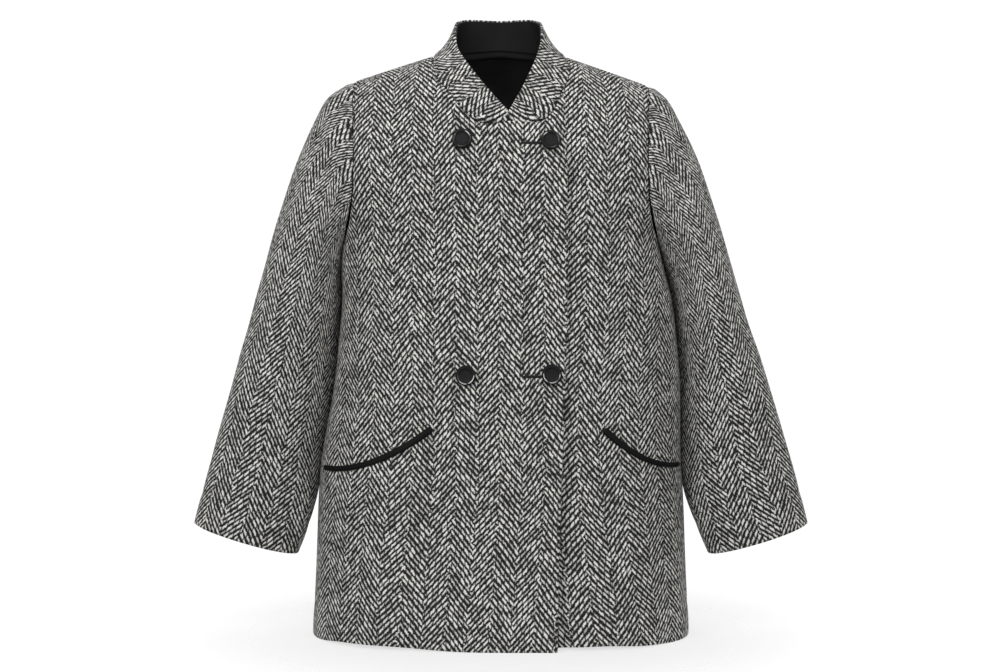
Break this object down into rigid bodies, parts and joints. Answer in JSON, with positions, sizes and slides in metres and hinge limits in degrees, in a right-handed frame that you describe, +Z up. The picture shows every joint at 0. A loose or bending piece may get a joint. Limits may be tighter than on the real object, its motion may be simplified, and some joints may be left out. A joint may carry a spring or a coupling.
{
  "type": "double-breasted short coat",
  "caption": "Hollow short coat of herringbone tweed in its worn shape, with a stand collar, overlapping buttoned fronts, curved piped pocket mouths and set-in sleeves.",
  "frame": {"origin": "middle of the wearer's neck at the height of the nape seam, where the shoulders carry the coat", "axes": "+Z up, +X towards the wearer's left, -Y out of the front"},
  "size_m": [0.791, 0.2957, 0.7959],
  "materials": {
    "tweed": "matt woven wool, black and off-white herringbone",
    "lining": "smooth black lining cloth",
    "piping": "black, low sheen",
    "button": "polished black"
  },
  "bodies": {
    "root": {"back": "tweed", "right_front": "tweed", "left_front": "tweed", "right_sleeve": "tweed", "left_sleeve": "tweed", "collar": "tweed", "collar_facing": "lining", "back_lining": "lining", "right_pocket_piping": "piping", "left_pocket_piping": "piping", "button_upper_right": "button", "button_upper_left": "button", "button_lower_right": "button", "button_lower_left": "button"}
  },
  "joints": []
}
